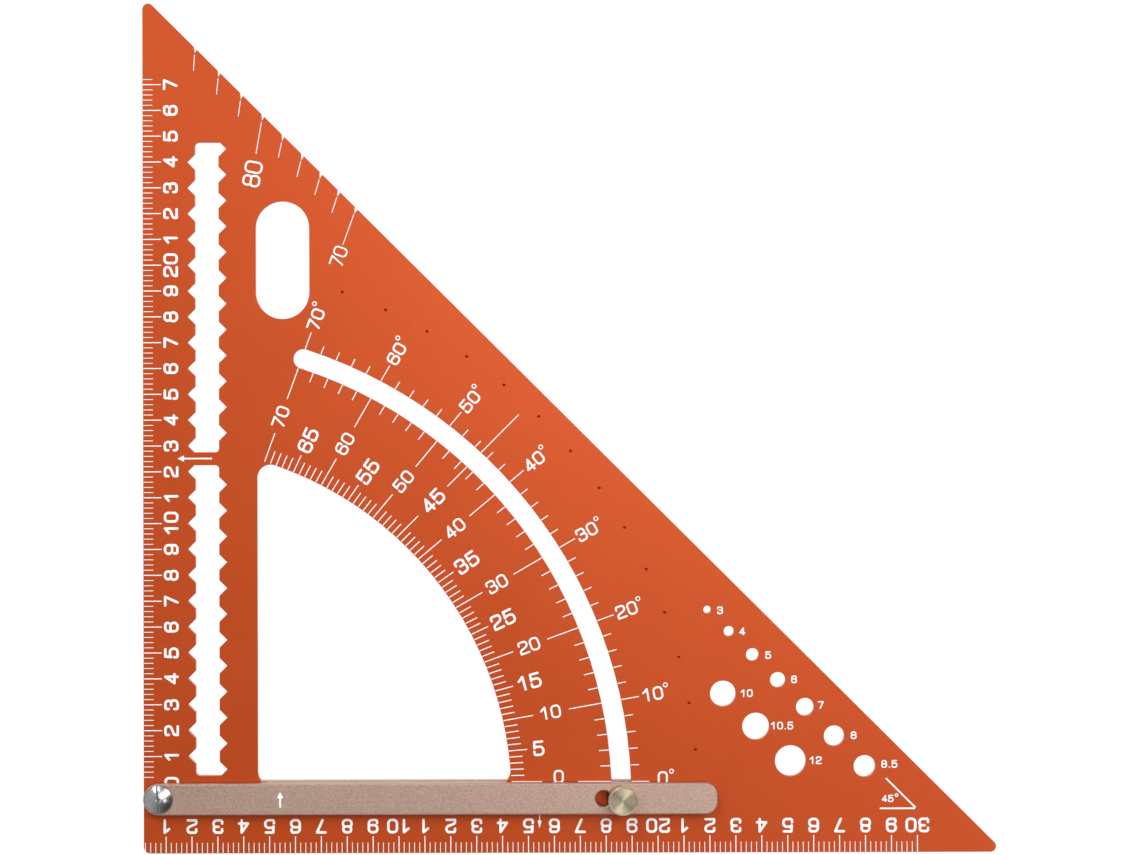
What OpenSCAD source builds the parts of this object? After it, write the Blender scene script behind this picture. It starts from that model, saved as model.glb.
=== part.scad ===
// Adjustable set square: a triangular plate with a swinging two-bar arm that locks in a curved slot.
// Millimetres. +Z is up out of the printed face, +X runs along the bottom leg, +Y along the left leg.
// The origin is the middle of the plate's outline, level with the underside of the lower bar.

/* [Plate] */
// Length of each straight leg, to the sharp corner
leg = 332; // [318:1:345]
// Thickness of the plate
plate_t = 3; // [2:0.1:4]
// Radius of the right-angled corner
corner_r = 2.5; // [1:0.1:5]
// Radius of the two pointed tips
tip_r = 2.2; // [1:0.1:4]
// Height of the pivot above the bottom leg
pivot_up = 21.4; // [19:0.1:24]

/* [Window] */
// Distance from the left leg to the window
window_left = 44.1; // [38:0.1:50]
// How far the window runs on below the zero line, under the arm
window_drop = 1.2; // [0.5:0.1:3]
// Width of the scale band between the window's arc and the middle of the lock slot
window_band = 42.5; // [38:0.5:50]
// Radius of the window's corners
window_corner_r = 5.2; // [2:0.1:8]

/* [Lock slot] */
// Distance from the end of the arm back to the lock screw
lock_inset = 36.8; // [34:0.1:40]
// Width of the curved slot
lock_slot_w = 7.6; // [7.2:0.1:8.4]
// Angle of the upper end of the slot
lock_slot_end = 71.75; // [71:0.25:75]
// Angle by which the slot runs on below the zero position
lock_slot_start = 0.4; // [0.2:0.1:1]
// Extra diameter of the slot's round ends, where the cutter turned back
lock_slot_relief = 0.04; // [0.02:0.01:0.1]

/* [Toothed slots] */
// Distance from the left leg to the middle of the toothed slots
tooth_x = 24.8; // [23:0.1:27]
// Width of a toothed slot between its straight sides
tooth_slot_w = 9.2; // [8:0.1:11]
// Spacing of the V notches along one side
tooth_pitch = 10; // [9:0.5:12]
// Depth of a V notch
tooth_depth = 3; // [2:0.1:4]
// Radius of the plain corners of a toothed slot
tooth_corner_r = 1.5; // [0.5:0.1:2.5]
// Plate left between the upper toothed slot and the sloping edge, measured upwards
tooth_land = 24; // [20:1:34]

/* [Grip hole] */
// Distance from the left leg to the middle of the grip hole
grip_x = 54.1; // [50:0.1:60]
// Distance from the middle of the grip hole straight up to the sloping edge
grip_drop = 48.7; // [46:0.1:52]
// Width of the grip hole
grip_w = 20.8; // [18:0.1:22]
// Length of the grip hole
grip_len = 45.6; // [40:0.1:48]

/* [Gauge holes] */
// Diameters of the small gauge holes, upper left to lower right
small_gauges = [3, 4, 5, 6, 7, 8, 8.5];
// Diameters of the large gauge holes, upper left to lower right
large_gauges = [10, 10.5, 12];
// Distance of the small row from the sloping edge
small_row_in = 14.5; // [13:0.1:17]
// Distance of the large row from the sloping edge
large_row_in = 33.2; // [31:0.1:36]
// Distance along the slope from the lower tip to the last small hole
small_row_up = 61.3; // [58:0.1:65]
// Distance along the slope from the lower tip to the last large hole
large_row_up = 83; // [80:0.1:88]
// Plate left between two small holes
small_wall = 8.3; // [7:0.1:9]
// Plate left between two large holes
large_wall = 7.6; // [7:0.1:9]

/* [Marking nicks] */
// First angle that has a nick in the sloping edge
nick_first = 70; // [70:2:76]
// Last angle that has a nick
nick_last = 86; // [80:2:86]
// Angle from one nick to the next
nick_step = 2; // [2:1:4]
// Width of a nick at the edge
nick_w = 1.6; // [1:0.1:2]
// Depth of a nick along its line
nick_depth = 2.6; // [1.5:0.1:3.5]

/* [Arm] */
// Width of both bars
arm_w = 12; // [11.5:0.1:13]
// Thickness of each bar
arm_t = 4; // [3.8:0.1:5]
// Distance that the arm's round end stays inside the left leg
arm_inset = 0.15; // [0.1:0.05:0.5]
// Corner radius of the arm's free end
arm_end_r = 4.9; // [3:0.1:5.5]
// Bevel along every outer edge of the bars
arm_bevel = 0.4; // [0.2:0.1:0.6]
// Space between a bar and the plate, filled by the washers and guides
arm_gap = 0.5; // [0.4:0.1:0.8]
// Diameter of the open hole beside the lock screw
sight_d = 6.2; // [4:0.1:6.4]
// Bevel around the open hole
sight_bevel = 0.4; // [0.2:0.1:0.6]
// Distance from the lock screw back to the open hole
sight_back = 7.1; // [7:0.1:9]

/* [Pivot] */
// Diameter of the pivot screw's shank
shank_d = 5; // [4:0.1:5.5]
// Diameter of the pivot screw's head
head_d = 10.5; // [9:0.1:11]
// Height of the head's straight rim
head_rim = 0.6; // [0.4:0.1:1]
// Height of the head's dome above its rim
head_dome = 1.4; // [1:0.1:2]
// Width of the screwdriver slot
driver_w = 0.8; // [0.6:0.1:1.2]
// Depth of the screwdriver slot
driver_depth = 1.5; // [0.8:0.1:1.5]
// Angle of the screwdriver slot from square to the arm, as the screw was left when it was tightened
driver_turn = 6.5; // [0:0.5:180]
// Diameter of the turning centre in the screw's head
centre_d = 2.4; // [1.4:0.1:3]
// Depth of the turning centre
centre_depth = 0.6; // [0.3:0.1:0.7]
// Space from the underside of the lower bar up to the screw's foot
foot_in = 0.5; // [0.3:0.1:1]
// Outer diameter of the bush that lines the plate
bush_d = 8; // [7:0.1:9]
// Outer diameter of the pivot washers
pivot_washer_d = 11; // [10:0.1:11.5]

/* [Lock screw] */
// Diameter of the knob
knob_d = 11.2; // [10:0.1:11.5]
// Height of the knob
knob_h = 6; // [5:0.1:8]
// Bevel around the knob's top and bottom
knob_bevel = 0.7; // [0.3:0.1:0.8]
// Diameter of the stud's thread
stud_d = 5; // [4.6:0.1:5.2]
// Diameter of the stud's plain neck, which keeps the washer captive
neck_d = 4.2; // [4:0.1:4.4]
// Depth that the stud is pressed into the knob
stud_in = 4; // [3:0.1:4.5]
// Outer diameter of the captive washer
lock_washer_d = 9.4; // [8:0.1:10]
// Thickness of the captive washer
lock_washer_t = 0.8; // [0.6:0.1:1.2]
// Diameter of the clearance hole in the upper bar and the guides
stud_hole_d = 5.6; // [5.5:0.1:6]
// Outer diameter of the guides' flanges
guide_flange_d = 11; // [10:0.1:11.5]
// Space between a guide and one side of the curved slot
guide_play = 0.15; // [0.1:0.05:0.3]
// Outer diameter of the threaded insert
insert_d = 7.5; // [7:0.1:8]
// Outer diameter of the insert's flange
insert_flange_d = 9.4; // [9:0.1:10]
// Thickness of the insert's flange
insert_flange_t = 1; // [0.8:0.1:1.5]

/* [Detent] */
// Distance from the end of the arm back to the detent ball
detent_inset = 7.5; // [6.5:0.1:9]
// Angle from one dimple to the next
detent_step = 5; // [5:5:10]
// Angle of the last dimple
detent_last = 70; // [60:10:70]
// Diameter of a dimple's mouth
dimple_d = 1.3; // [1.2:0.1:1.4]
// Depth of a dimple
dimple_depth = 0.5; // [0.4:0.05:0.6]
// Diameter of the detent ball
ball_d = 2.4; // [2.2:0.1:2.4]
// Outer diameter of the plunger's sleeve
plunger_d = 4; // [3.6:0.1:4.4]
// Wall left above the plunger in the upper bar
plunger_roof = 0.7; // [0.5:0.05:0.8]
// Thickness of the sleeve's closed end
plunger_cap = 0.3; // [0.2:0.05:0.4]
// How far the sleeve's rolled lip reaches in under the ball
plunger_lip = 0.15; // [0.1:0.01:0.17]
// Diameter of the spring's wire
wire_d = 0.2; // [0.15:0.05:0.25]
// Mean diameter of the spring
coil_d = 1.5; // [1.3:0.05:1.6]

/* [Hidden] */

$fn = 72;
// Overrun of every cut past the face that it opens
over = 1;
// Radial play of turning and sliding fits
run_play = 0.05;
// Space left above and below a part that slides on the plate
face_play = 0.03;
// Radial space between parts that are pressed together
seat_play = 0.01;

// Heights of the stack, from the underside of the lower bar
plate_z = arm_t + arm_gap;
plate_top = plate_z + plate_t;
upper_z = plate_top + arm_gap;
arm_top = upper_z + arm_t;
knob_z = arm_top + lock_washer_t + 2 * face_play;

// Plan of the plate and the arm
plate_reach = leg - tip_r * sqrt(2);
pivot_x = arm_w / 2 + arm_inset;
zero_y = pivot_up + arm_w / 2;
arm_reach = (leg - pivot_x - pivot_up) / sqrt(2);
lock_r = arm_reach - lock_inset;
window_r = lock_r - window_band;
detent_r = arm_reach - detent_inset;

// Toothed slots: the first notch tips lie half a pitch above the zero line
tooth_tip_x = tooth_x + tooth_slot_w / 2 + tooth_depth;
tooth_count = floor((leg - zero_y - tooth_tip_x - tooth_land) / (2 * tooth_pitch));
tooth_slot_len = tooth_count * tooth_pitch;
tooth_first_y = zero_y + tooth_pitch / 4;
tooth_second_y = tooth_first_y + tooth_slot_len + tooth_pitch / 2;

// Plunger: the ball is drawn level with the plate, as it is between two dimples
ball_z = plate_top + face_play + ball_d / 2;
plunger_top = arm_top - plunger_roof;
plunger_ceiling = plunger_top - plunger_cap;
spring_bottom = ball_z + sqrt(pow((ball_d + wire_d) / 2, 2) - pow(coil_d / 2, 2)) - wire_d / 2 + face_play;
spring_len = plunger_ceiling - spring_bottom;
spring_turns = 3;
spring_rings = 14;
spring_sides = 6;

module in_frame() {
    translate([-plate_reach / 2, -plate_reach / 2, 0]) children();
}

// Arm coordinates: the pivot is the origin and X runs along the arm
module on_arm(z) {
    in_frame() translate([pivot_x, pivot_up, z]) children();
}

module ring(outer_d, inner_d, h) {
    difference() {
        cylinder(h = h, d = outer_d);
        translate([0, 0, -over]) cylinder(h = h + 2 * over, d = inner_d);
    }
}

// Plate

// Triangle with rounded corners: straight sides between the points where the corner circles touch
module plate_outline() {
    tip = tip_r * (1 + sqrt(2));
    touch = tip_r / sqrt(2);
    polygon([
        [corner_r, 0], [leg - tip, 0],
        [leg - tip + touch, tip_r + touch], [tip_r + touch, leg - tip + touch],
        [0, leg - tip], [0, corner_r]
    ]);
    translate([corner_r, corner_r]) circle(r = corner_r);
    translate([leg - tip, tip_r]) circle(r = tip_r);
    translate([tip_r, leg - tip]) circle(r = tip_r);
}

// Quarter window: an arc about the pivot, a side parallel to the left leg and a bottom under the arm
module window_outline() {
    inner = window_r - window_corner_r;
    x0 = window_left - pivot_x;
    y0 = arm_w / 2 - window_drop;
    low_left = [x0 + window_corner_r, y0 + window_corner_r];
    low_right = [sqrt(inner * inner - low_left[1] * low_left[1]), low_left[1]];
    up_left = [low_left[0], sqrt(inner * inner - low_left[0] * low_left[0])];
    translate([pivot_x, pivot_up]) {
        intersection() {
            circle(r = window_r, $fn = 240);
            polygon([
                [low_left[0], y0], [low_right[0], y0], low_right * window_r / inner,
                [window_r, window_r], up_left * window_r / inner,
                [x0, up_left[1]], [x0, low_left[1]]
            ]);
        }
        for (corner = [low_left, low_right, up_left]) translate(corner) circle(r = window_corner_r);
    }
}

// Curved slot about the pivot with a round end of diameter end_d at each angle
module arc_slot_outline(r, w, end_d, from, to) {
    far = r + w;
    intersection() {
        difference() {
            circle(r = r + w / 2, $fn = 240);
            circle(r = r - w / 2, $fn = 240);
        }
        rotate(from) square(far);
        rotate(to) translate([0, -far]) square(far);
    }
    for (a = [from, to]) rotate(a) translate([r, 0]) circle(d = end_d);
}

// Half of a toothed slot from its end at y = 0 to its middle; the corner on the plain side is round
module slot_half(plain_side) {
    half = tooth_slot_w / 2;
    full_x = plain_side > 0 ? -half : tooth_corner_r - half;
    translate([-half, tooth_corner_r]) square([tooth_slot_w, tooth_slot_len / 2 - tooth_corner_r]);
    translate([full_x, 0]) square([tooth_slot_w - tooth_corner_r, tooth_slot_len / 2]);
    translate([plain_side * (half - tooth_corner_r), tooth_corner_r]) circle(r = tooth_corner_r);
}

// One toothed slot from y = 0; near_side is the side, 1 or -1, whose first notch lies nearest the start
module toothed_slot_outline(near_side) {
    half = tooth_slot_w / 2;
    intersection() {
        translate([-half - tooth_depth, 0]) square([tooth_slot_w + 2 * tooth_depth, tooth_slot_len]);
        union() {
            slot_half(-near_side);
            translate([0, tooth_slot_len]) mirror([0, 1]) slot_half(near_side);
            for (i = [0 : tooth_count - 1], side = [-1, 1]) {
                lead = side == near_side ? tooth_pitch / 4 : tooth_pitch * 3 / 4;
                translate([side * half, lead + i * tooth_pitch]) polygon([
                    [-side * tooth_depth, -tooth_depth], [0, -tooth_depth],
                    [side * tooth_depth, 0], [0, tooth_depth], [-side * tooth_depth, tooth_depth]
                ]);
            }
        }
    }
}

module grip_outline() {
    translate([grip_x, leg - grip_x - grip_drop]) {
        square([grip_w, grip_len - grip_w], center = true);
        for (side = [-1, 1]) translate([0, side * (grip_len - grip_w) / 2]) circle(d = grip_w);
    }
}

// Distance along the slope from the last hole of a row back up to hole i
function row_step(row, wall, i) =
    i >= len(row) - 1 ? 0 : (row[i] + row[i + 1]) / 2 + wall + row_step(row, wall, i + 1);

module gauge_row(row, row_in, row_up, wall) {
    translate([leg, 0]) rotate(135)
        for (i = [0 : len(row) - 1])
            translate([row_up + row_step(row, wall, i), row_in, -over])
                cylinder(h = plate_t + 2 * over, d = row[i]);
}

// Where the line that the arm's edge draws at an angle crosses the sloping edge, from its foot
function edge_crossing(a) =
    (leg - pivot_x - pivot_up - arm_w / 2 * (cos(a) - sin(a))) / (cos(a) + sin(a));

module nick_outline(a) {
    // Share of the nick's depth by which it is opened past the sloping edge
    past_share = 0.4;
    slope = -45 - a;
    mouth = nick_w / 2 * [cos(slope), sin(slope)];
    translate([pivot_x, pivot_up]) rotate(a) translate([edge_crossing(a), arm_w / 2])
        polygon([
            [-nick_depth, 0], mouth, mouth * (1 + past_share) + [nick_depth * past_share, 0],
            -mouth * (1 + past_share) + [nick_depth * past_share, 0], -mouth
        ]);
}

module square_plate() {
    color([0.80, 0.36, 0.17]) in_frame() translate([0, 0, plate_z]) difference() {
        linear_extrude(plate_t) plate_outline();
        translate([0, 0, -over]) linear_extrude(plate_t + 2 * over) {
            window_outline();
            translate([pivot_x, pivot_up])
                arc_slot_outline(
                    lock_r, lock_slot_w, lock_slot_w + lock_slot_relief, -lock_slot_start, lock_slot_end
                );
            translate([tooth_x, tooth_first_y]) toothed_slot_outline(1);
            translate([tooth_x, tooth_second_y]) toothed_slot_outline(-1);
            grip_outline();
            for (a = [nick_first : nick_step : nick_last]) nick_outline(a);
        }
        translate([pivot_x, pivot_up, -over]) cylinder(h = plate_t + 2 * over, d = bush_d);
        gauge_row(small_gauges, small_row_in, small_row_up, small_wall);
        gauge_row(large_gauges, large_row_in, large_row_up, large_wall);
        for (a = [0 : detent_step : detent_last])
            translate([pivot_x, pivot_up, plate_t]) rotate(a) translate([detent_r, 0, 0])
                spot_pit(dimple_d, dimple_depth);
    }
}

// Cut for a spot-drilled pit with a 45 degree wall, its mouth on the face at z = 0
module spot_pit(mouth_d, depth) {
    translate([0, 0, -depth])
        cylinder(h = depth + over, r1 = mouth_d / 2 - depth, r2 = mouth_d / 2 + over, $fn = 32);
}

module pivot_bush() {
    color([0.78, 0.66, 0.36]) on_arm(plate_z) ring(bush_d - 2 * seat_play, shank_d + 2 * run_play, plate_t);
}

// Arm

module bevelled_disc(r) {
    rotate_extrude() polygon([
        [0, 0], [r - arm_bevel, 0], [r, arm_bevel],
        [r, arm_t - arm_bevel], [r - arm_bevel, arm_t], [0, arm_t]
    ]);
}

// Straight length of bar from x = 0, bevelled along both long sides
module bevelled_run(length) {
    half = arm_w / 2;
    rotate([90, 0, 90]) linear_extrude(length) polygon([
        [arm_bevel - half, 0], [half - arm_bevel, 0], [half, arm_bevel], [half, arm_t - arm_bevel],
        [half - arm_bevel, arm_t], [arm_bevel - half, arm_t],
        [-half, arm_t - arm_bevel], [-half, arm_bevel]
    ]);
}

module arm_bar() {
    flat_w = arm_w - 2 * arm_end_r;
    end_x = arm_reach - arm_end_r;
    bevelled_disc(arm_w / 2);
    bevelled_run(end_x);
    for (side = [-1, 1]) translate([end_x, side * flat_w / 2, 0]) bevelled_disc(arm_end_r);
    translate([end_x, flat_w / 2, 0]) rotate([90, 0, 0]) linear_extrude(flat_w) polygon([
        [0, 0], [arm_end_r - arm_bevel, 0], [arm_end_r, arm_bevel],
        [arm_end_r, arm_t - arm_bevel], [arm_end_r - arm_bevel, arm_t], [0, arm_t]
    ]);
}

module arm_upper_bar() {
    color([0.73, 0.62, 0.56]) on_arm(upper_z) difference() {
        arm_bar();
        translate([0, 0, -over]) {
            cylinder(h = arm_t + 2 * over, d = shank_d + 2 * run_play);
            translate([lock_r, 0, 0]) cylinder(h = arm_t + 2 * over, d = stud_hole_d);
            translate([lock_r - sight_back, 0, 0]) cylinder(h = arm_t + 2 * over, d = sight_d);
            translate([lock_r - sight_back, 0, over + arm_t])
                spot_pit(sight_d + 2 * sight_bevel, sight_bevel);
            translate([detent_r, 0, 0])
                cylinder(h = over + plunger_top - upper_z, d = plunger_d + 2 * seat_play);
        }
    }
}

module arm_lower_bar() {
    color([0.73, 0.62, 0.56]) on_arm(0) difference() {
        arm_bar();
        translate([0, 0, -over]) {
            cylinder(h = arm_t + 2 * over, d = shank_d + 2 * run_play);
            translate([lock_r, 0, 0]) {
                cylinder(h = arm_t + 2 * over, d = insert_d + 2 * seat_play);
                cylinder(h = over + insert_flange_t, d = insert_flange_d + 2 * seat_play);
            }
        }
    }
}

// Domed slotted screw that holds both bars and turns in the bush
module pivot_screw() {
    head_h = head_rim + head_dome;
    dome_r = (pow(head_d / 2, 2) + pow(head_dome, 2)) / (2 * head_dome);
    color([0.62, 0.62, 0.64]) on_arm(0) {
        translate([0, 0, foot_in]) cylinder(h = arm_top - foot_in, d = shank_d);
        translate([0, 0, arm_top]) difference() {
            union() {
                cylinder(h = head_rim, d = head_d);
                intersection() {
                    translate([0, 0, head_rim]) cylinder(h = head_dome, d = head_d);
                    translate([0, 0, head_h - dome_r]) sphere(r = dome_r);
                }
            }
            rotate(driver_turn) translate([-driver_w / 2, -head_d / 2 - over, head_h - driver_depth])
                cube([driver_w, head_d + 2 * over, driver_depth + over]);
            translate([0, 0, head_h]) spot_pit(centre_d, centre_depth);
        }
    }
}

module pivot_washer() {
    ring(pivot_washer_d, shank_d + 2 * run_play, arm_gap - face_play);
}

module pivot_washer_upper() {
    color([0.88, 0.87, 0.82]) on_arm(plate_top + face_play) pivot_washer();
}

module pivot_washer_lower() {
    color([0.88, 0.87, 0.82]) on_arm(arm_t) pivot_washer();
}

// Lock

// Flanged half of the guide that runs in the curved slot, standing on its flange
module slot_guide() {
    flange_t = arm_gap - face_play;
    spigot_h = plate_t / 2;
    difference() {
        union() {
            cylinder(h = flange_t, d = guide_flange_d);
            cylinder(h = flange_t + spigot_h, d = lock_slot_w - 2 * guide_play);
        }
        translate([0, 0, -over]) cylinder(h = flange_t + spigot_h + 2 * over, d = stud_hole_d);
    }
}

module slot_guide_upper() {
    color([0.20, 0.20, 0.21]) on_arm(upper_z) translate([lock_r, 0, 0]) mirror([0, 0, 1]) slot_guide();
}

module slot_guide_lower() {
    color([0.20, 0.20, 0.21]) on_arm(arm_t) translate([lock_r, 0, 0]) slot_guide();
}

module lock_insert() {
    color([0.62, 0.62, 0.64]) on_arm(0) translate([lock_r, 0, 0]) difference() {
        union() {
            cylinder(h = insert_flange_t, d = insert_flange_d);
            cylinder(h = arm_t, d = insert_d);
        }
        translate([0, 0, -over]) cylinder(h = arm_t + 2 * over, d = stud_d + 2 * run_play);
    }
}

module lock_washer() {
    color([0.75, 0.68, 0.50]) on_arm(arm_top + face_play) translate([lock_r, 0, 0])
        ring(lock_washer_d, neck_d + 2 * run_play, lock_washer_t);
}

module lock_knob() {
    r = knob_d / 2;
    color([0.75, 0.68, 0.50]) on_arm(knob_z) translate([lock_r, 0, 0]) difference() {
        rotate_extrude() polygon([
            [0, 0], [r - knob_bevel, 0], [r, knob_bevel],
            [r, knob_h - knob_bevel], [r - knob_bevel, knob_h], [0, knob_h]
        ]);
        translate([0, 0, -over]) cylinder(h = over + stud_in + seat_play, d = stud_d + 2 * seat_play);
    }
}

// Threaded stud with a plain neck through the captive washer
module lock_stud() {
    foot = insert_flange_t / 2;
    neck_bottom = arm_top - lock_washer_t / 2;
    color([0.62, 0.62, 0.64]) on_arm(0) translate([lock_r, 0, 0]) {
        translate([0, 0, foot]) cylinder(h = neck_bottom - foot, d = stud_d);
        translate([0, 0, neck_bottom]) cylinder(h = knob_z - neck_bottom, d = neck_d);
        translate([0, 0, knob_z]) cylinder(h = stud_in, d = stud_d);
    }
}

// Detent

// Sleeve closed at the top, with a rolled lip that keeps the ball in
module detent_sleeve() {
    r = plunger_d / 2;
    bore_r = ball_d / 2 + run_play;
    lip_r = bore_r - plunger_lip;
    color([0.62, 0.62, 0.64]) on_arm(upper_z) translate([detent_r, 0, 0])
        rotate_extrude() polygon([
            [lip_r, 0], [r, 0], [r, plunger_top - upper_z], [0, plunger_top - upper_z],
            [0, plunger_ceiling - upper_z], [bore_r, plunger_ceiling - upper_z], [bore_r, 2 * plunger_lip]
        ]);
}

// One ring of the spring's wire, round the helix point at share t of its length
function wire_ring(t) =
    let (turn = 360 * spring_turns * t, rise = wire_d / 2 + (spring_len - wire_d) * t)
    [for (i = [0 : spring_sides - 1])
        let (a = 360 * i / spring_sides, out = coil_d / 2 + wire_d / 2 * cos(a))
        [out * cos(turn), out * sin(turn), rise + wire_d / 2 * sin(a)]];

module detent_spring() {
    rings = spring_turns * spring_rings;
    points = [for (k = [0 : rings]) each wire_ring(k / rings)];
    sides = [for (k = [0 : rings - 1], i = [0 : spring_sides - 1])
        let (j = (i + 1) % spring_sides, low = k * spring_sides, high = low + spring_sides)
        each [[low + i, high + i, high + j], [low + i, high + j, low + j]]];
    first = [[for (i = [0 : spring_sides - 1]) i]];
    last = [[for (i = [spring_sides - 1 : -1 : 0]) rings * spring_sides + i]];
    color([0.70, 0.70, 0.72]) on_arm(spring_bottom) translate([detent_r, 0, 0])
        polyhedron(points = points, faces = concat(first, sides, last), convexity = 10);
}

module detent_ball() {
    color([0.80, 0.80, 0.82]) on_arm(ball_z) translate([detent_r, 0, 0]) sphere(d = ball_d);
}

square_plate();
pivot_bush();
arm_upper_bar();
arm_lower_bar();
pivot_screw();
pivot_washer_upper();
pivot_washer_lower();
slot_guide_upper();
slot_guide_lower();
lock_insert();
lock_washer();
lock_knob();
lock_stud();
detent_sleeve();
detent_spring();
detent_ball();
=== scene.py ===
import math

import bpy
from mathutils import Matrix, Vector
from mathutils.geometry import delaunay_2d_cdt

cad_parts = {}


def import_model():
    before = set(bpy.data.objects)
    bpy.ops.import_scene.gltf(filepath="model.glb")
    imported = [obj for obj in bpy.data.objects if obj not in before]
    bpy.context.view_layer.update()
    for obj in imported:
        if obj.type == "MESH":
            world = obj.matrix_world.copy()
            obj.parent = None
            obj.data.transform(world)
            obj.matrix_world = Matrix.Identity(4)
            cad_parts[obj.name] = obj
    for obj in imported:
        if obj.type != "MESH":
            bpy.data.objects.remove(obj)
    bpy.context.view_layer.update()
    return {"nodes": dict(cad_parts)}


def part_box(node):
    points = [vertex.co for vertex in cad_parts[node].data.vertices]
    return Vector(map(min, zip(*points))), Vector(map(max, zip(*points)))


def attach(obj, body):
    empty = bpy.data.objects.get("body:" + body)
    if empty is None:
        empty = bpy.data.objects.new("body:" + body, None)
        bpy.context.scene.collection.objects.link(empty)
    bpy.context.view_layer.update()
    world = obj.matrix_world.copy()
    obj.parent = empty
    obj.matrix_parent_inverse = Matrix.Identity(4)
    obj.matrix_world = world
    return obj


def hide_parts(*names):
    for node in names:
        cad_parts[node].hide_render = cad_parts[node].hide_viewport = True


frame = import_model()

# The part's own lengths are in millimetres, and places are measured from the plate's right-angled corner
MM = 0.001
MM_PER_CM = 10

# Places that the frame gives
plate_low, plate_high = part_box("square_plate")
arm_low, arm_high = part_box("arm_upper_bar")
screw_low, screw_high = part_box("pivot_screw")
knob_low, knob_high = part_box("lock_knob")
stud_low, stud_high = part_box("lock_stud")
CORNER = Vector((plate_low.x, plate_low.y))
PLATE_TOP = plate_high.z
ARM_TOP = arm_high.z
PIVOT = (((screw_low + screw_high) / 2).xy - CORNER) / MM
LOCK = (((knob_low + knob_high) / 2).xy - CORNER) / MM
LOCK_R = LOCK.x - PIVOT.x
# The arm's upper edge lies this far above the pivot, and the zero marks lie on its line
EDGE = (arm_high.y - CORNER.y) / MM - PIVOT.y
ZERO_Y = PIVOT.y + EDGE
# Each leg of the plate, as far as the sharp corner that its tip rounds off
LEG = 332.0

# Ink stands this far proud of the face, and is sunk this far into it
INK_PROUD = 0.02
INK_SUNK = 0.03
# Marks stop this far short of an edge
EDGE_LAND = 0.15
# Points of outlines closer than this are one point
JOIN_GAP = 1e-5

# Widths of the pens
SMALL_TICK = 0.27
CM_TICK = 0.38
DEGREE_TICK = 0.36
NICK_LINE = 0.3
ICON_LINE = 0.62
SIGN_LINE = 0.4
# Steps round a line's end and round a ring, and the angle of one step of an arc
CAP_STEPS = 5
RING_STEPS = 20
ARC_STEP = math.radians(18)

# The centimetre scales have a small tick every two millimetres
TICK_STEP = 2
# Left scale, which starts at the zero line
LEFT_SCALE_MM = 272
LEFT_TICK = 3.85
LEFT_CM_TICK = 7.1
LEFT_DIGIT_X = 10.8
# Bottom scale, whose zero lies just outside the plate's corner
BOTTOM_SCALE_MM = 300
BOTTOM_ZERO_X = -1.4
BOTTOM_TICK = 4.1
BOTTOM_CM_TICK = 6.5
BOTTOM_DIGIT_Y = 10.4

# Both degree scales end here, and 45 degrees has a longer tick on each
LAST_DEGREE = 70
MIDDLE_DEGREE = 45

# Degree scale round the window, whose arc lies this far inside the middle of the curved slot
WINDOW_INSIDE = 42.5
WINDOW_R = LOCK_R - WINDOW_INSIDE
DEGREE_LENGTH = 5.0
FIVE_LENGTH = 7.1
TEN_LENGTH = 11.7
# Radii of its figures; the first one and 45 stand out of line with the other fives
TEN_LABEL_R = 154.4
FIVE_LABEL_R = 149.6
ODD_LABEL_R = {5: 147.7, MIDDLE_DEGREE: 156.0}

# The zeros stand this far above their line, clear of the arm
ZERO_LABEL_UP = 1.9
SLOT_ZERO_UP = 1.3

# Degree scale along the curved slot, with ticks inwards and outwards from both of its edges
SLOT_HALF = 3.8
SLOT_STEP = 2
SLOT_INNER = 3.8
SLOT_INNER_TEN = 12.7
SLOT_OUTER = 3.2
SLOT_OUTER_TEN = 6.8
SLOT_INNER_MIDDLE = 10.6
SLOT_OUTER_MIDDLE = 20.6
SLOT_LABEL_R = 194.5
# Its degree signs: gap after the figures, height above their middle, and radius
SIGN_GAP = 1.1
SIGN_UP = 2.6
SIGN_R = 0.75

# Lines inwards from the marking nicks in the sloping edge
NICKS = range(70, 88, 2)
NICK_DEPTH = 2.6
NICK_SHORT = 6.2
NICK_LONG = 12.6
# Figures of two nicks: how far back from the line's start they stand, and their height
NICK_LABELS = {80: (20.5, 7.0), 70: (17.4, 5.5)}
# Width, pitch and pen of these figures, as shares of their height
NICK_SHARES = (0.68, 0.75, 0.11)

# Sizes of the hole gauges and the middles of their labels
GAUGE_LABELS = {
    "3": (222.9, 93.3), "4": (231.4, 85.2), "5": (241.4, 76.0), "6": (251.3, 66.6), "7": (261.6, 56.7),
    "8": (274.2, 45.0), "8.5": (287.9, 33.9), "10": (232.9, 61.3), "10.5": (246.5, 48.8), "12": (259.4, 35.4),
}

# Sign of 45 degrees near the lower tip: its two lines, its figures and its degree sign
ICON_APEX = Vector((298.2, 16.8))
ICON_BASE = 13.8
ICON_SLOPE = 16.2
ICON_TEXT = Vector((287.2, 20.6))
ICON_SIGN = Vector((290.6, 21.9))
ICON_SIGN_R = 0.5

# Tips of the arrows on the bottom scale, on the bridge between the toothed slots and on the arm
SCALE_ARROW = Vector((152.9, 9.4))
BRIDGE_ARROW = Vector((13.3, 152.5))
ARM_ARROW = Vector((53.0, PIVOT.y + 2.9))

# Corner rounding of the digits, as a share of their width
ROUND_SHARE = 0.4
TIGHT_SHARE = 0.26
# Length of a digit's hook, as a share of its height
HOOK_SHARE = 0.27
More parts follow.
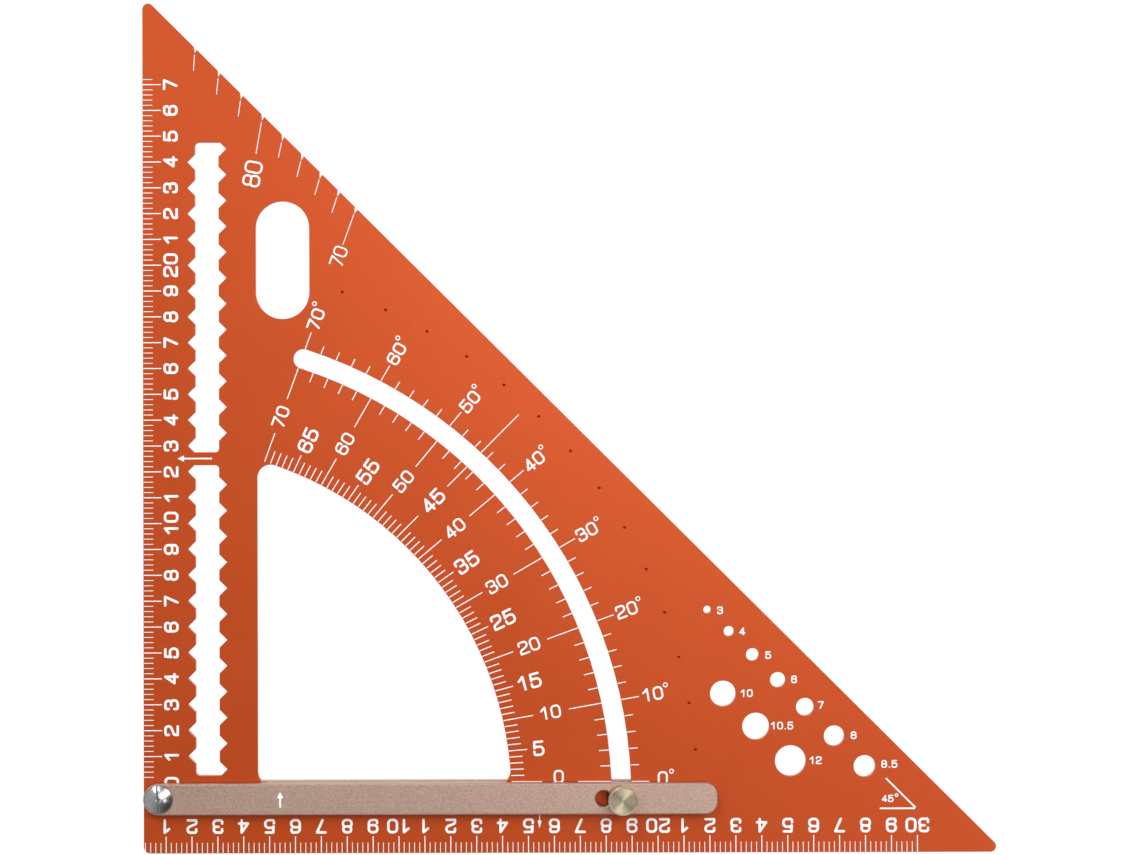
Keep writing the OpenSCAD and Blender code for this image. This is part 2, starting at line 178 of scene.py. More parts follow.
# Strokes of each digit: closed or not, then corners in shares of its width and height, each with its rounding
DIGIT_SHARES = {
    "0": [(True, [(0, 0, ROUND_SHARE), (1, 0, ROUND_SHARE), (1, 1, ROUND_SHARE), (0, 1, ROUND_SHARE)])],
    "1": [(False, [(0.14, 0.7, 0), (0.66, 1, 0)]), (False, [(0.66, 1, 0), (0.66, 0, 0)])],
    "2": [
        (False, [
            (0, 1 - HOOK_SHARE, 0), (0, 1, ROUND_SHARE), (1, 1, ROUND_SHARE), (1, 0.56, ROUND_SHARE),
            (0, 0.3, TIGHT_SHARE), (0, 0, 0),
        ]),
        (False, [(0, 0, 0), (1, 0, 0)]),
    ],
    "3": [
        (False, [
            (0, 1 - HOOK_SHARE, 0), (0, 1, ROUND_SHARE), (0.96, 1, ROUND_SHARE), (0.96, 0.53, TIGHT_SHARE),
            (0.4, 0.53, 0),
        ]),
        (False, [
            (0.4, 0.53, 0), (1, 0.53, TIGHT_SHARE), (1, 0, ROUND_SHARE), (0, 0, ROUND_SHARE),
            (0, HOOK_SHARE, 0),
        ]),
    ],
    "4": [
        (False, [(0.74, 0, 0), (0.74, 1, 0)]),
        (False, [(0.74, 1, 0), (0, 0.26, 0)]),
        (False, [(0, 0.26, 0), (1.04, 0.26, 0)]),
    ],
    "5": [
        (False, [(0.94, 1, 0), (0.08, 1, 0)]),
        (False, [(0.08, 1, 0), (0.03, 0.52, 0)]),
        (False, [
            (0.03, 0.52, 0), (0.2, 0.62, TIGHT_SHARE), (1, 0.62, ROUND_SHARE), (1, 0, ROUND_SHARE),
            (0, 0, ROUND_SHARE), (0, HOOK_SHARE, 0),
        ]),
    ],
    "6": [
        (False, [(0.96, 1 - HOOK_SHARE, 0), (0.96, 1, ROUND_SHARE), (0, 1, ROUND_SHARE), (0, 0.3, 0)]),
        (True, [(0, 0, ROUND_SHARE), (1, 0, ROUND_SHARE), (1, 0.58, ROUND_SHARE), (0, 0.58, TIGHT_SHARE)]),
    ],
    "7": [(False, [(0, 1, 0), (1, 1, 0)]), (False, [(1, 1, 0), (0.36, 0, 0)])],
    "8": [
        (True, [
            (0.05, 0.53, TIGHT_SHARE), (0.95, 0.53, TIGHT_SHARE), (0.95, 1, ROUND_SHARE),
            (0.05, 1, ROUND_SHARE),
        ]),
        (True, [(0, 0, ROUND_SHARE), (1, 0, ROUND_SHARE), (1, 0.53, TIGHT_SHARE), (0, 0.53, TIGHT_SHARE)]),
    ],
    "9": [
        (False, [(0.04, HOOK_SHARE, 0), (0.04, 0, ROUND_SHARE), (1, 0, ROUND_SHARE), (1, 0.7, 0)]),
        (True, [(0, 0.42, ROUND_SHARE), (1, 0.42, TIGHT_SHARE), (1, 1, ROUND_SHARE), (0, 1, ROUND_SHARE)]),
    ],
    ".": [(False, [(0.5, 0, 0), (0.5, 0.02, 0)])],
}
# Advance of the narrow characters, as a share of the digits' pitch
NARROW_SHARE = {".": 0.5}


class Lettering:
    """A size of digits: the box round a digit, the space from one digit to the next, and the pen's width."""

    def __init__(self, height, width, pitch, pen):
        self.height = height
        self.width = width
        self.pitch = pitch
        self.pen = pen
        self.nets = {}

    def net(self, letter):
        """The flat net of one digit, made once for each size."""
        if letter not in self.nets:
            self.nets[letter] = joined(digit_shapes(letter, self))
        return self.nets[letter]


SCALE_DIGITS = Lettering(height=5.7, width=4.25, pitch=4.9, pen=0.95)
FIVE_DIGITS = Lettering(height=5.9, width=4.4, pitch=5.1, pen=0.88)
TEN_DIGITS = Lettering(height=5.2, width=3.9, pitch=4.5, pen=0.74)
GAUGE_DIGITS = Lettering(height=3.0, width=2.3, pitch=2.65, pen=0.52)
ICON_DIGITS = Lettering(height=2.8, width=2.1, pitch=2.45, pen=0.5)


def rounded_path(corners, closed):
    """Points of a path whose corners (point, radius) are rounded by arcs."""
    path = []
    count = len(corners)
    for i, (corner, radius) in enumerate(corners):
        if radius == 0 or (not closed and i in (0, count - 1)):
            path.append(corner)
            continue
        back = corners[i - 1][0] - corner
        on = corners[(i + 1) % count][0] - corner
        half_turn = (math.pi - back.angle(on)) / 2
        reach = min(radius * math.tan(half_turn), back.length * 0.5, on.length * 0.5)
        back.normalize()
        on.normalize()
        radius = reach / math.tan(half_turn)
        centre = corner + (back + on).normalized() * math.hypot(reach, radius)
        first = corner + back * reach - centre
        turn = first.angle_signed(corner + on * reach - centre)
        steps = max(2, math.ceil(abs(turn) / ARC_STEP))
        path += [centre + Matrix.Rotation(-turn * k / steps, 2) @ first for k in range(steps + 1)]
    return path


def pen_stroke(path, pen, closed):
    """Outlines that a round pen leaves along a smooth path: a quad for each stretch and two end caps."""
    count = len(path)
    sides = []
    for i, point in enumerate(path):
        before = point - path[i - 1] if closed or i > 0 else path[1] - path[0]
        after = path[(i + 1) % count] - point if closed or i < count - 1 else before
        along = (before.normalized() + after.normalized()).normalized()
        spread = pen / 2 / along.dot(after.normalized())
        sides.append(Vector((-along.y, along.x)) * spread)
    shapes = []
    for i in range(count if closed else count - 1):
        k = (i + 1) % count
        shapes.append([path[i] - sides[i], path[k] - sides[k], path[k] + sides[k], path[i] + sides[i]])
    if not closed:
        for end, side in ((path[0], sides[0]), (path[-1], -sides[-1])):
            shapes.append([
                end + Matrix.Rotation(math.pi * k / CAP_STEPS, 2) @ side for k in range(CAP_STEPS + 1)])
    return shapes


def covers(shape, point):
    """Whether a convex outline that runs anticlockwise holds a point."""
    return all((shape[i] - shape[i - 1]).cross(point - shape[i - 1]) >= 0 for i in range(len(shape)))


def joined(shapes):
    """Joins overlapping convex outlines into one flat net: its points and its triangles."""
    points, edges = [], []
    for shape in shapes:
        first = len(points)
        edges += [(first + i, first + (i + 1) % len(shape)) for i in range(len(shape))]
        points += shape
    net, _, triangles, _, _, _ = delaunay_2d_cdt(points, edges, [], 0, JOIN_GAP, False)
    inked = []
    for triangle in triangles:
        middle = sum((net[i] for i in triangle), Vector((0, 0))) / len(triangle)
        if any(covers(shape, middle) for shape in shapes):
            inked.append(triangle)
    return net, inked


def digit_shapes(letter, size):
    """Outlines of one digit, drawn about its middle."""
    box_w, box_h = size.width - size.pen, size.height - size.pen
    shapes = []
    for closed, corners in DIGIT_SHARES[letter]:
        placed = [(Vector(((x - 0.5) * box_w, (y - 0.5) * box_h)), r * box_w) for x, y, r in corners]
        shapes += pen_stroke(rounded_path(placed, closed), size.pen, closed)
    return shapes


def new_object(name, data):
    """Puts a mesh, light or camera into the scene."""
    item = bpy.data.objects.new(name, data)
    bpy.context.scene.collection.objects.link(item)
    return item


class Marks:
    """Ink marks on one flat face, collected in millimetres and made into one thin raised piece."""

    def __init__(self):
        self.points = []
        self.triangles = []

    def add(self, net, triangles):
        """Adds a flat net of points and triangles."""
        start = len(self.points)
        self.points += net
        self.triangles += [[start + i for i in t] for t in triangles]

    def line(self, start, end, pen):
        """A line with square ends."""
        side = (end - start).normalized().orthogonal() * pen / 2
        self.add([start - side, end - side, end + side, start + side], [(0, 1, 2), (0, 2, 3)])

    def round_line(self, path, pen):
        """A line with round ends through several points."""
        self.add(*joined(pen_stroke(path, pen, closed=False)))

    def ring(self, centre, radius, pen):
        path = [centre + Matrix.Rotation(2 * math.pi * k / RING_STEPS, 2) @ Vector((radius, 0))
                for k in range(RING_STEPS)]
        self.add(*joined(pen_stroke(path, pen, closed=True)))

    def arrow(self, tip, direction, length, head_length, head_width, pen):
        side = direction.orthogonal()
        neck = tip - direction * head_length
        tail = tip - direction * length
        self.add(*joined([
            [tip, neck + side * head_width / 2, neck - side * head_width / 2],
            [neck + side * pen / 2, tail + side * pen / 2, tail - side * pen / 2, neck - side * pen / 2],
        ]))

    def digits(self, text, middle, angle, size):
        """Writes text centred on a point, reading along an angle in degrees."""
        turn = Matrix.Rotation(math.radians(angle), 2)
        advances = [size.pitch * NARROW_SHARE.get(letter, 1) for letter in text]
        left = -sum(advances) / 2
        for letter, advance in zip(text, advances):
            net, triangles = size.net(letter)
            place = Vector((left + advance / 2, 0))
            self.add([middle + turn @ (place + point) for point in net], triangles)
            left += advance

    def make_piece(self, name, body, face_z):
        """Raises the marks off their face and makes them ride on a body."""
        count = len(self.points)
        flat = [CORNER + point * MM for point in self.points]
        top, bottom = face_z + INK_PROUD * MM, face_z - INK_SUNK * MM
        vertices = [(p.x, p.y, top) for p in flat] + [(p.x, p.y, bottom) for p in flat]
        faces = [list(t) for t in self.triangles]
        faces += [[i + count for i in reversed(t)] for t in self.triangles]
        edges = {(t[i - 1], t[i]) for t in self.triangles for i in range(3)}
        faces += [[b, a, a + count, b + count] for a, b in edges if (b, a) not in edges]
        mesh = bpy.data.meshes.new(name)
        mesh.from_pydata(vertices, [], faces)
        mesh.validate()
        mesh.materials.append(MATERIALS["white_ink"])
        piece = new_object(name, mesh)
        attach(piece, body)


def direction(angle):
    """Unit vector at an angle in degrees from +X towards +Y."""
    return Vector((math.cos(math.radians(angle)), math.sin(math.radians(angle))))


def on_angle_line(angle, radius, across=0.0):
    """Point of the arm's edge line at an angle, this far from the pivot, moved across the line."""
    offset = EDGE + across
    along = math.sqrt(radius * radius - offset * offset)
    return PIVOT + direction(angle) * along + direction(angle + 90) * offset


# A noise's values lie mostly between these
NOISE_LOW = 0.3
NOISE_HIGH = 0.7
# Share of open sky at which a crevice has its full shade
SHADE_FULL = 0.55
CREVICE_SAMPLES = 8
BEVEL_SAMPLES = 6
# Depth of the relief on a blasted surface, and on a machined or moulded one
BLASTED_DEPTH = 0.05
FINE_DEPTH = 0.01
# Anodised surfaces: size of their patches of gloss, and reach of the shade in their crevices
GLOSS_PATCH = 38
ANODISED_REACH = 0.8
# Colour of the shade in the crevices of plain metal
METAL_SHADE = (0.03, 0.03, 0.03)


class Tree:
    """Node tree of a material or of the room, with the patterns that they are made of."""

    def __init__(self, owner):
        owner.use_nodes = True
        self.nodes = owner.node_tree.nodes
        self.links = owner.node_tree.links

    def feed(self, node, inputs):
        """Links the inputs that are given another node's output, and sets the others to their value."""
        for name, value in inputs.items():
            if isinstance(value, bpy.types.NodeSocket):
                self.links.new(value, node.inputs[name])
            else:
                node.inputs[name].default_value = value

    def node(self, kind, inputs, **settings):
        """Makes a node and returns its outputs."""
        made = self.nodes.new(kind)
        for name, value in settings.items():
            setattr(made, name, value)
        self.feed(made, inputs)
        return made.outputs

    def grain(self, spot, detail=3.0):
        """Noise whose spots are about this size, in the object's own coordinates."""
        place = self.node("ShaderNodeTexCoord", {})["Object"]
        inputs = {"Vector": place, "Scale": 1 / (spot * MM), "Detail": detail}
        return self.node("ShaderNodeTexNoise", inputs)["Fac"]

    def remap(self, value, low, high, to_low=0.0, to_high=1.0):
        """Stretches a span of values to another one, and holds it there at both ends."""
        inputs = {"Value": value, "From Min": low, "From Max": high, "To Min": to_low, "To Max": to_high}
        return self.node("ShaderNodeMapRange", inputs)["Result"]

    def wander(self, spot, ends):
        """A value that wanders between two ends, over patches of about this size."""
        return self.remap(self.grain(spot), NOISE_LOW, NOISE_HIGH, *ends)

    def two_tone(self, factor, dark, light, low=0.35, high=0.65):
        """Goes from a dark to a light colour as the factor rises from low to high."""
        ramp = self.nodes.new("ShaderNodeValToRGB")
        for element, position, colour in zip(ramp.color_ramp.elements, (low, high), (dark, light)):
            element.position = position
            element.color = (*colour, 1)
        self.feed(ramp, {"Fac": factor})
        return ramp.outputs["Color"]

    def mix(self, factor, start, end):
        """Goes from a fixed colour to a linked one as the factor rises."""
        inputs = {"Factor": factor, "A": (*start, 1), "B": end}
        return self.node("ShaderNodeMix", inputs, data_type="RGBA")["Result"]

    def in_crevices(self, colour, reach, shade):
        """Painted shade: darkens a colour where other surfaces lie within this reach."""
        near = self.node("ShaderNodeAmbientOcclusion", {"Distance": reach * MM}, samples=CREVICE_SAMPLES)
        return self.mix(self.remap(near["AO"], SHADE_FULL, 1.0), shade, colour)

    def bump(self, height, strength, depth, edge=0.0):
        """Relief from a pattern, and with an edge radius also softly broken edges."""
        inputs = {"Strength": strength, "Distance": depth * MM, "Height": height}
        if edge:
            rounded = self.node("ShaderNodeBevel", {"Radius": edge * MM}, samples=BEVEL_SAMPLES)
            inputs["Normal"] = rounded["Normal"]
        return self.node("ShaderNodeBump", inputs)["Normal"]


class Surface(Tree):
    """A new material, whose patterns feed one shader."""

    def __init__(self, name):
        self.material = bpy.data.materials.new(name)
        super().__init__(self.material)

    def finished(self, inputs):
        """Feeds the shader and returns the material."""
        self.feed(self.nodes["Principled BSDF"], inputs)
        return self.material


def anodised(name, dark, light, shade, spot, relief, metallic, roughness, edge):
    """Blasted and dyed aluminium: speckled colour with painted shade in its crevices, fine relief and slow
    changes of gloss.
    """
    surface = Surface(name)
    fine = surface.grain(spot, detail=4.0)
    return surface.finished({
        # The base colour carries painted shade in the crevices, from the ambient occlusion
        "Base Color": surface.in_crevices(surface.two_tone(fine, dark, light), ANODISED_REACH, shade),
        "Metallic": metallic,
        "Specular IOR Level": 0.25,
        "Roughness": surface.wander(GLOSS_PATCH, roughness),
        "Normal": surface.bump(fine, relief, BLASTED_DEPTH, edge),
    })


def turned_metal(name, dark, light, spot, roughness, anisotropic):
    """Metal with the fine rings of a lathe, which stretch its highlights."""
    surface = Surface(name)
    return surface.finished({
        "Base Color": surface.two_tone(surface.grain(spot), dark, light),
        "Metallic": 1.0,
        "Roughness": surface.wander(spot * 0.75, roughness),
        "Anisotropic": anisotropic,
        "Anisotropic Rotation": 0.25,
        "Tangent": surface.node("ShaderNodeTangent", {}, direction_type="RADIAL", axis="Z")["Tangent"],
    })


def plain_metal(name, dark, light, spot, roughness, reach=1.2):
    """Steel or bronze as it comes off the machine, with painted shade in the crevices within reach."""
    surface = Surface(name)
    fine = surface.grain(spot)
    return surface.finished({
        # The base colour carries painted shade in the crevices, from the ambient occlusion
        "Base Color": surface.in_crevices(surface.two_tone(fine, dark, light), reach, METAL_SHADE),
        "Metallic": 1.0,
        "Roughness": surface.wander(3 * spot, roughness),
        "Normal": surface.bump(fine, strength=0.1, depth=FINE_DEPTH),
    })


def plastic(name, dark, light, spot, roughness):
    """Moulded or printed surface with a fine matt texture."""
    surface = Surface(name)
    fine = surface.grain(spot)
    return surface.finished({
        "Base Color": surface.two_tone(fine, dark, light),
        "Roughness": surface.wander(2 * spot, roughness),
        "Normal": surface.bump(fine, strength=0.15, depth=FINE_DEPTH),
    })


FINISHES = {
    # shade is the colour of the painted shade in the crevices of the anodised parts
    "orange_anodised": (anodised, dict(
        dark=(0.49, 0.064, 0.0085), light=(0.53, 0.071, 0.0105), shade=(0.1, 0.008, 0.002), spot=0.35,
        relief=0.12, metallic=0.35, roughness=(0.3, 0.36), edge=0.25)),
    "champagne_anodised": (anodised, dict(
        dark=(0.4, 0.277, 0.22), light=(0.59, 0.41, 0.33), shade=(0.2, 0.12, 0.1), spot=0.45,
        relief=0.5, metallic=0.85, roughness=(0.42, 0.48), edge=0.2)),
    "brass": (turned_metal, dict(
        dark=(0.52, 0.44, 0.3), light=(0.58, 0.495, 0.35), spot=4, roughness=(0.27, 0.33), anisotropic=0.75)),
    "polished_steel": (plain_metal, dict(
        dark=(0.5, 0.51, 0.52), light=(0.56, 0.57, 0.58), spot=0.9, roughness=(0.2, 0.25), reach=0.3)),
    "plain_steel": (plain_metal, dict(
        dark=(0.42, 0.42, 0.42), light=(0.55, 0.55, 0.54), spot=0.4, roughness=(0.25, 0.4))),
    "spring_steel": (plain_metal, dict(
        dark=(0.3, 0.3, 0.31), light=(0.45, 0.45, 0.46), spot=0.3, roughness=(0.2, 0.35))),
    "bronze": (plain_metal, dict(
        dark=(0.48, 0.27, 0.12), light=(0.6, 0.36, 0.17), spot=0.6, roughness=(0.3, 0.45))),
    "white_acetal": (plastic, dict(
        dark=(0.74, 0.73, 0.7), light=(0.82, 0.81, 0.78), spot=0.6, roughness=(0.35, 0.5))),
    "black_acetal": (plastic, dict(
        dark=(0.015, 0.015, 0.016), light=(0.03, 0.03, 0.031), spot=0.6, roughness=(0.35, 0.5))),
    "white_ink": (plastic, dict(
        dark=(0.94, 0.89, 0.86), light=(0.98, 0.95, 0.93), spot=0.5, roughness=(0.45, 0.6))),
}
MATERIALS = {name: kind(name, **settings) for name, (kind, settings) in FINISHES.items()}

NODE_FINISH = {
    "square_plate": "orange_anodised",
    "arm_upper_bar": "champagne_anodised",
    "arm_lower_bar": "champagne_anodised",
    "pivot_screw": "polished_steel",
    "pivot_bush": "bronze",
    "pivot_washer_upper": "white_acetal",
    "pivot_washer_lower": "white_acetal",
    "slot_guide_upper": "black_acetal",
    "slot_guide_lower": "black_acetal",
    "lock_insert": "brass",
    "lock_stud": "plain_steel",
    "lock_washer": "plain_steel",
    "detent_sleeve": "plain_steel",
    "detent_spring": "spring_steel",
    "detent_ball": "polished_steel",
}


def finish_cad_nodes():
    """Gives the CAD solids that show as they are their materials."""
    for node, finish in NODE_FINISH.items():
        for material_slot in frame["nodes"][node].material_slots:
            material_slot.material = MATERIALS[finish]


def scale_number(cm):
    """Whole tens are written out, and the centimetres between them as a single digit."""
    return str(cm) if cm % 10 == 0 else str(cm % 10)


def add_scale(marks, point, zero, length, tick, cm_tick, first_cm, digits_in, turn):
    """A centimetre scale along an edge: point(along, inwards) is the place of a mark on it."""
    for i in range(TICK_STEP, length + 1, TICK_STEP):
        on_cm = i % MM_PER_CM == 0
        end = point(zero + i, cm_tick if on_cm else tick)
        marks.line(point(zero + i, EDGE_LAND), end, CM_TICK if on_cm else SMALL_TICK)
    for cm in range(first_cm, length // MM_PER_CM + 1):
        marks.digits(scale_number(cm), point(zero + cm * MM_PER_CM, digits_in), turn, SCALE_DIGITS)


def left_scale():
    """Centimetres up the left edge, whose figures read upwards."""
    marks = Marks()
    add_scale(marks, lambda along, inwards: Vector((inwards, along)), ZERO_Y, LEFT_SCALE_MM,
              LEFT_TICK, LEFT_CM_TICK, first_cm=0, digits_in=LEFT_DIGIT_X, turn=90)
    marks.make_piece("left_scale_marks", "plate", PLATE_TOP)


def bottom_scale():
    """Centimetres along the bottom edge, whose figures stand on their heads, and a small arrow among them."""
    marks = Marks()
    add_scale(marks, lambda along, inwards: Vector((along, inwards)), BOTTOM_ZERO_X, BOTTOM_SCALE_MM,
              BOTTOM_TICK, BOTTOM_CM_TICK, first_cm=1, digits_in=BOTTOM_DIGIT_Y, turn=180)
    marks.arrow(SCALE_ARROW, Vector((0, -1)), length=5.2, head_length=3.0, head_width=1.6, pen=0.4)
    marks.make_piece("bottom_scale_marks", "plate", PLATE_TOP)


def degree_scale():
    """Ticks and figures round the window, along the arm's edge line at each degree."""
    marks = Marks()
    for angle in range(LAST_DEGREE + 1):
        length = DEGREE_LENGTH
        if angle % 5 == 0:
            length = FIVE_LENGTH
        if angle % 10 == 0 or angle == MIDDLE_DEGREE:
            length = TEN_LENGTH
        start = on_angle_line(angle, WINDOW_R + EDGE_LAND)
        marks.line(start, start + direction(angle) * length, DEGREE_TICK)
        if angle % 10 == 0:
            lift = ZERO_LABEL_UP if angle == 0 else 0
            marks.digits(str(angle), on_angle_line(angle, TEN_LABEL_R, lift), angle, TEN_DIGITS)
        elif angle % 5 == 0:
            radius = ODD_LABEL_R.get(angle, FIVE_LABEL_R)
            marks.digits(str(angle), on_angle_line(angle, radius), angle, FIVE_DIGITS)
    marks.make_piece("degree_marks", "plate", PLATE_TOP)


def add_slot_ticks(marks, angle, inner_length, outer_length):
    """Ticks on both sides of the curved slot at one angle."""
    inner = on_angle_line(angle, LOCK_R - SLOT_HALF - EDGE_LAND)
    outer = on_angle_line(angle, LOCK_R + SLOT_HALF + EDGE_LAND)
    marks.line(inner, inner - direction(angle) * inner_length, DEGREE_TICK)
    marks.line(outer, outer + direction(angle) * outer_length, DEGREE_TICK)


def slot_scale():
    """Ticks along both edges of the curved slot, and figures with degree signs outside it."""
    marks = Marks()
    for angle in range(0, LAST_DEGREE + 1, SLOT_STEP):
        if angle % 10:
            add_slot_ticks(marks, angle, SLOT_INNER, SLOT_OUTER)
            continue
        add_slot_ticks(marks, angle, SLOT_INNER_TEN, SLOT_OUTER_TEN)
        middle = on_angle_line(angle, SLOT_LABEL_R, SLOT_ZERO_UP if angle == 0 else 0)
        marks.digits(str(angle), middle, angle, TEN_DIGITS)
        half_text = TEN_DIGITS.pitch * len(str(angle)) / 2
        sign = middle + direction(angle) * (half_text + SIGN_GAP) + direction(angle + 90) * SIGN_UP
        marks.ring(sign, SIGN_R, SIGN_LINE)
    add_slot_ticks(marks, MIDDLE_DEGREE, SLOT_INNER_MIDDLE, SLOT_OUTER_MIDDLE)
    marks.make_piece("slot_marks", "plate", PLATE_TOP)


def slope_point(angle):
    """Where the arm's edge line at an angle meets the sloping edge."""
    base = PIVOT + direction(angle + 90) * EDGE
    along = direction(angle)
    return base + along * ((LEG - base.x - base.y) / (along.x + along.y))


def nick_lines():
    """Lines inwards from the nicks, along the arm's edge line at each angle."""
    marks = Marks()
    for angle in NICKS:
        start = slope_point(angle) - direction(angle) * NICK_DEPTH
        length = NICK_LONG if angle in NICK_LABELS else NICK_SHORT
        marks.line(start, start - direction(angle) * length, NICK_LINE)
        if angle in NICK_LABELS:
            back, height = NICK_LABELS[angle]
            size = Lettering(height, *(height * share for share in NICK_SHARES))
            marks.digits(str(angle), start - direction(angle) * back, angle, size)
    marks.make_piece("nick_marks", "plate", PLATE_TOP)


def gauge_labels():
    """Sizes of the gauge holes in millimetres, beside them."""
    marks = Marks()
    for text, middle in GAUGE_LABELS.items():
        marks.digits(text, Vector(middle), 0, GAUGE_DIGITS)
    marks.make_piece("gauge_labels", "plate", PLATE_TOP)


def corner_icon():
    """Two lines that meet at 45 degrees, near the lower tip."""
    marks = Marks()
    marks.round_line([ICON_APEX, ICON_APEX + Vector((-ICON_BASE, 0))], ICON_LINE)
    marks.round_line([ICON_APEX, ICON_APEX + direction(135) * ICON_SLOPE], ICON_LINE)
    marks.digits("45", ICON_TEXT, 0, ICON_DIGITS)
    marks.ring(ICON_SIGN, ICON_SIGN_R, SIGN_LINE)
    marks.make_piece("corner_icon", "plate", PLATE_TOP)


def bridge_arrow():
    """Arrow on the bridge between the toothed slots, pointing at the left edge."""
    marks = Marks()
    marks.arrow(BRIDGE_ARROW, Vector((-1, 0)), length=13.4, head_length=2.5, head_width=2.4, pen=0.6)
    marks.make_piece("bridge_arrow", "plate", PLATE_TOP)


def arm_arrow():
    """Arrow on the arm, pointing at its measuring edge."""
    marks = Marks()
    marks.arrow(ARM_ARROW, Vector((0, 1)), length=6.0, head_length=2.4, head_width=2.6, pen=0.7)
    marks.make_piece("arm_arrow", "arm", ARM_TOP)


# Ridges round the knob's side, their depth, and how far their wave moves on in a millimetre of height
KNURLS = 30
KNURL_DEPTH = 0.28
KNURL_LEAN = 1.6
KNOB_BEVEL = 0.7
# Points across a ridge, rings up the side, share of the depth at the side's ends, and radius of the middle
KNURL_POINTS = 8
KNURL_LEVELS = 14
RIM_SHARE = 0.25
MIDDLE_R = 0.02


def knurled_knob():
    """Lock knob: diagonal ridges round the side, bevelled rims, a flat top and the stud's bore below."""
    centre = (knob_low + knob_high) / 2
    radius = (knob_high.x - knob_low.x) / 2 / MM
    height = (knob_high.z - knob_low.z) / MM
    bore_r = (stud_high.x - stud_low.x) / 2 / MM
    bore_h = (stud_high.z - knob_low.z) / MM
    low, high = KNOB_BEVEL, height - KNOB_BEVEL
    # Rings of points from the bore over the side to the top: radius, height and share of the ridges' depth
    rings = [(MIDDLE_R, bore_h, 0), (bore_r, bore_h, 0), (bore_r, 0, 0), (radius - KNOB_BEVEL, 0, 0)]
    for k in range(KNURL_LEVELS + 1):
        z = low + (high - low) * k / KNURL_LEVELS
        rings.append((radius, z, 1 if 0 < k < KNURL_LEVELS else RIM_SHARE))
    rings += [(radius - KNOB_BEVEL, height, 0), (MIDDLE_R, height, 0)]

    around = KNURLS * KNURL_POINTS
    vertices, faces = [], []
    for r, z, share in rings:
        for k in range(around):
            turn = 2 * math.pi * k / around
            ridge = 0.5 - 0.5 * math.cos(KNURLS * turn + KNURL_LEAN * (z - low))
            reach = r - KNURL_DEPTH * share * ridge
            vertices.append((reach * MM * math.cos(turn), reach * MM * math.sin(turn), z * MM))
    for i in range(len(rings) - 1):
        for k in range(around):
            a, b = i * around + k, i * around + (k + 1) % around
            faces.append([a, b, b + around, a + around])
    faces.append(list(range(around))[::-1])
    last = (len(rings) - 1) * around
    faces.append(list(range(last, last + around)))

    mesh = bpy.data.meshes.new("knurled_knob")
    mesh.from_pydata(vertices, [], faces)
    mesh.materials.append(MATERIALS["brass"])
    piece = new_object("knurled_knob", mesh)
    piece.location = (centre.x, centre.y, knob_low.z)
    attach(piece, "lock_knob")
    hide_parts("lock_knob")


# The stage is in metres: half of the floor's side, and the gap under the part
FLOOR_HALF = 8.0
FLOOR_GAP = 0.0002


def floor():
    """White paper, which glows a little so that it stays white round the part."""
    mesh = bpy.data.meshes.new("floor")
    corners = [(x * FLOOR_HALF, y * FLOOR_HALF, 0) for x, y in ((-1, -1), (1, -1), (1, 1), (-1, 1))]
    mesh.from_pydata(corners, [], [[0, 1, 2, 3]])
    mesh.materials.append(Surface("floor_paper").finished({
        "Base Color": (0.08, 0.08, 0.08, 1),
        "Roughness": 0.9,
        "Emission Color": (1, 1, 1, 1),
        "Emission Strength": 0.98,
    }))
    plane = new_object("floor", mesh)
    plane.location.z = -FLOOR_GAP


# Azimuth of the room's light wall, both walls' brightness, and how far from the middle they are at their full
LIGHT_WALL_AZIMUTH = 165
LIGHT_WALL = (0.5, 0.5, 0.515)
DARK_WALL = (0.07, 0.07, 0.075)
WALL_REACH = 0.5
# Brightness of the horizon, and where it begins and ends to fade into the walls
HORIZON = (0.95, 0.95, 0.95)
HORIZON_FADE = (0.04, 0.3)


def world():
    """Soft room: pale at the horizon, and above it light on the left and darker on the right."""
    room = bpy.data.worlds.new("studio")
    bpy.context.scene.world = room
    tree = Tree(room)
    outwards = tree.node("ShaderNodeTexCoord", {})["Generated"]
    height = tree.node("ShaderNodeSeparateXYZ", {"Vector": outwards})["Z"]
    lean_inputs = {0: outwards, 1: (*direction(LIGHT_WALL_AZIMUTH), 0)}
    lean = tree.node("ShaderNodeVectorMath", lean_inputs, operation="DOT_PRODUCT")["Value"]
    walls = tree.two_tone(tree.remap(lean, -WALL_REACH, WALL_REACH), DARK_WALL, LIGHT_WALL, 0, 1)
    colour = tree.mix(tree.remap(height, *HORIZON_FADE), HORIZON, walls)
    tree.feed(tree.nodes["Background"], {"Color": colour})


def at(place, z=0.0):
    """World point at a place of the plate, at a height in metres."""
    return (CORNER + place * MM).to_3d() + Vector((0, 0, z))


def soft_box(name, aim, azimuth, elevation, distance, size, brightness):
    """Soft light that looks at a point, from an azimuth measured from +X towards +Y."""
    across = direction(azimuth)
    flat = math.cos(math.radians(elevation))
    away = Vector((across.x * flat, across.y * flat, math.sin(math.radians(elevation))))
    light = bpy.data.lights.new(name, "AREA")
    light.shape = "RECTANGLE"
    light.size, light.size_y = size
    light.energy = brightness * math.pi * size[0] * size[1]
    lamp = new_object(name, light)
    lamp.location = aim + away * distance
    lamp.rotation_mode = "QUATERNION"
    lamp.rotation_quaternion = away.to_track_quat("Z", "Y")


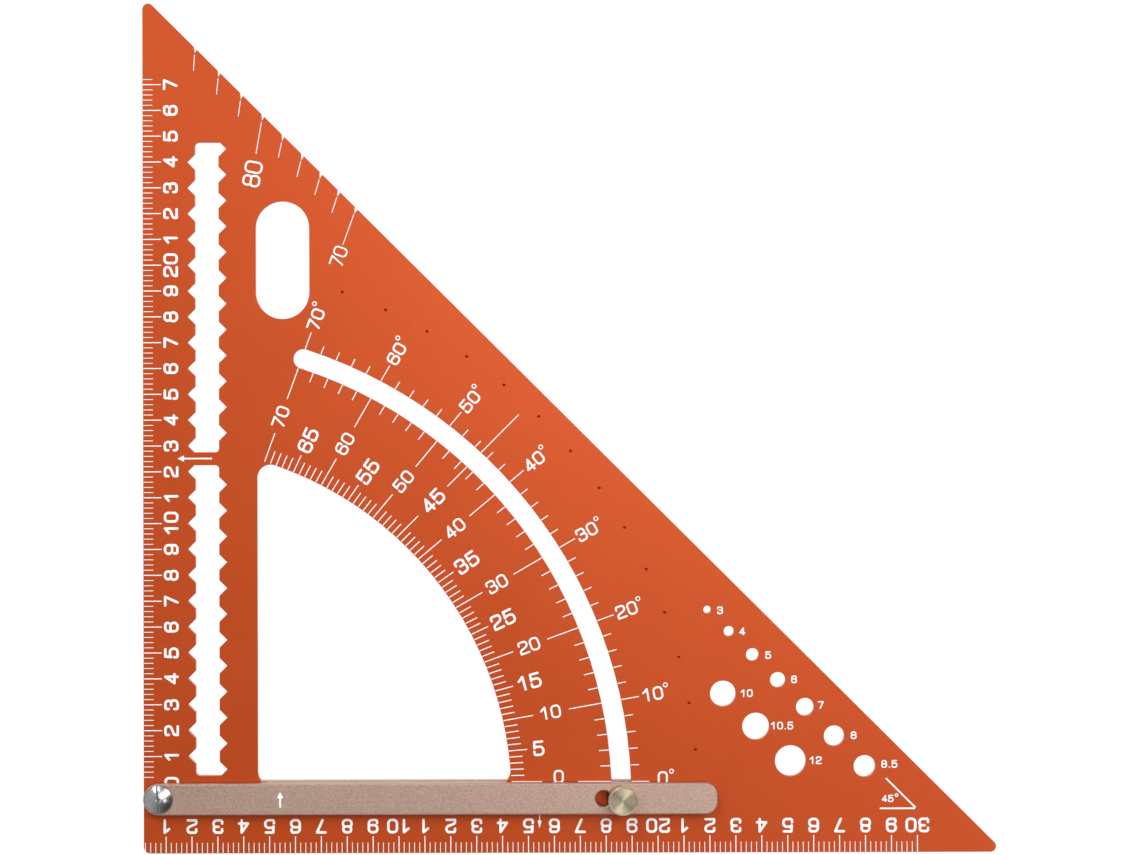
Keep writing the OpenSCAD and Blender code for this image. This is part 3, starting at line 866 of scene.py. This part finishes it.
# Places that the two smaller lights look at: the bright part of the sloping edge, and beyond the lower tip
SLOPE_SPOT = Vector((205, 225))
TIP_SPOT = Vector((370, 0))


def lights():
    """Two tall key lights from behind, and two smaller ones for the sloping edge and the lower tip."""
    middle = (plate_low + plate_high) / 2
    soft_box("overhead", at(SLOPE_SPOT), azimuth=45, elevation=80,
             distance=2.0, size=(0.7, 0.7), brightness=4.8)
    soft_box("low_right", at(TIP_SPOT), azimuth=-34, elevation=74,
             distance=2.0, size=(0.4, 0.4), brightness=3.0)
    soft_box("key_right", middle, azimuth=36, elevation=54,
             distance=1.75, size=(0.45, 0.9), brightness=12.2)
    soft_box("key_left", middle, azimuth=120, elevation=46,
             distance=1.75, size=(0.45, 0.9), brightness=10.6)


# Camera, nearly straight down: its height over the plate and the places that it stands over and looks at
CAMERA_HEIGHT = 1100
CAMERA_OVER = Vector((128.7, 187.6))
CAMERA_AIM = Vector((121.8, 199.7))
CAMERA_ROLL = math.radians(0.185)
CAMERA_LENS = 89.79
CAMERA_SENSOR = 36
CAMERA_SHIFT = (0.0987, -0.0805)
CAMERA_CLIP = (0.05, 50)


def camera():
    """Camera that shows the part in the photograph's frame."""
    data = bpy.data.cameras.new("camera")
    data.sensor_width = CAMERA_SENSOR
    data.lens = CAMERA_LENS
    data.shift_x, data.shift_y = CAMERA_SHIFT
    data.clip_start, data.clip_end = CAMERA_CLIP
    eye = at(CAMERA_OVER, PLATE_TOP + CAMERA_HEIGHT * MM)
    forward = (at(CAMERA_AIM, PLATE_TOP) - eye).normalized()
    right = Matrix.Rotation(CAMERA_ROLL, 3, forward) @ forward.cross(Vector((0, 1, 0))).normalized()
    up = right.cross(forward)
    item = new_object("camera", data)
    item.matrix_world = Matrix.Translation(eye) @ Matrix((right, up, -forward)).transposed().to_4x4()
    bpy.context.scene.camera = item


finish_cad_nodes()
left_scale()
bottom_scale()
degree_scale()
slot_scale()
nick_lines()
gauge_labels()
corner_icon()
bridge_arrow()
arm_arrow()
knurled_knob()
floor()
world()
lights()
camera()
bpy.context.scene.view_settings.view_transform = "Standard"
